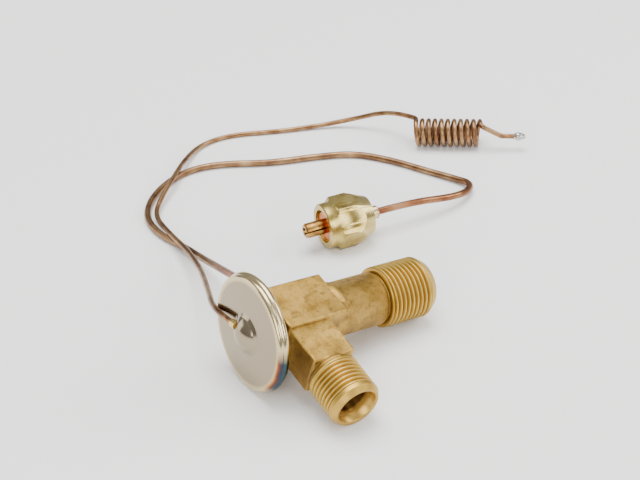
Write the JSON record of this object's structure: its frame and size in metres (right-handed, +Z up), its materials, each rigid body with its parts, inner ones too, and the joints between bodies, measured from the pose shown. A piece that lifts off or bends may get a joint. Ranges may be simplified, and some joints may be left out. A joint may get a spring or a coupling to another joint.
{
  "type": "thermostatic expansion valve",
  "caption": "Angle pattern brass expansion valve for refrigerant: disc-shaped diaphragm head, threaded inlet and outlet, coiled sensing tube, and an equaliser tube with a flare nut.",
  "frame": {"origin": "on the floor, under the middle of the box round the valve without its two tubes and what is on them", "axes": "+Z up, off the floor that the valve lies on; +X level, in the direction that the outlet points from the diaphragm; +Y level, towards the tubes, away from the inlet branch"},
  "size_m": [0.1589, 0.17, 0.0356],
  "materials": {
    "forged_brass": "sandblasted forging with darker stains",
    "turned_brass": "turned",
    "nut_brass": "turned and lightly aged",
    "braze": "brazing alloy",
    "stainless": "polished",
    "spring_steel": "drawn wire",
    "copper": "drawn copper, slightly dulled",
    "copper_aged": "annealed copper with heat colour",
    "copper_stub": "turned copper alloy",
    "solder": "silver solder",
    "seal_rubber": "matt"
  },
  "bodies": {
    "valve": {"valve_body": "forged_brass", "upper_cover": "stainless", "capillary_collar": "braze", "diaphragm": "stainless", "lower_cover": "stainless", "rim_weld": "stainless", "rod_seal": "seal_rubber", "seal_retainer": "turned_brass", "orifice_seat": "turned_brass", "spring": "spring_steel", "inlet_strainer": "stainless", "capillary_tube": "copper", "sensing_coil": "copper", "coil_tip": "solder", "equaliser_socket": "turned_brass", "equaliser_tube": "copper_aged", "tail_piece": "turned_brass", "core_depressor": "copper_stub"},
    "stem": {"thrust_pad": "stainless", "push_rod": "stainless", "ball": "stainless", "ball_carrier": "turned_brass"},
    "adjuster": {"adjuster": "turned_brass"},
    "flare_nut": {"flare_nut": "nut_brass"}
  },
  "joints": [
    {"name": "stem_slide", "type": "slide", "parent": "valve", "child": "stem", "axis": [0.9898, 0, -0.1423], "range_m": [0, 0.0008], "stiffness_N_per_m": 4000, "deforming": ["spring", "diaphragm"]},
    {"name": "adjuster_turn", "type": "hinge", "parent": "valve", "child": "adjuster", "pos_m": [0.01264, 0.00938, 0.01193], "axis": [0.9898, 0, -0.1423], "range_deg": [-360, 360]},
    {"name": "nut_spin", "type": "hinge", "parent": "valve", "child": "flare_nut", "pos_m": [0.03622, 0.0558, 0.00794], "axis": [-0.9861, 0.166, 0], "continuous": true}
  ]
}
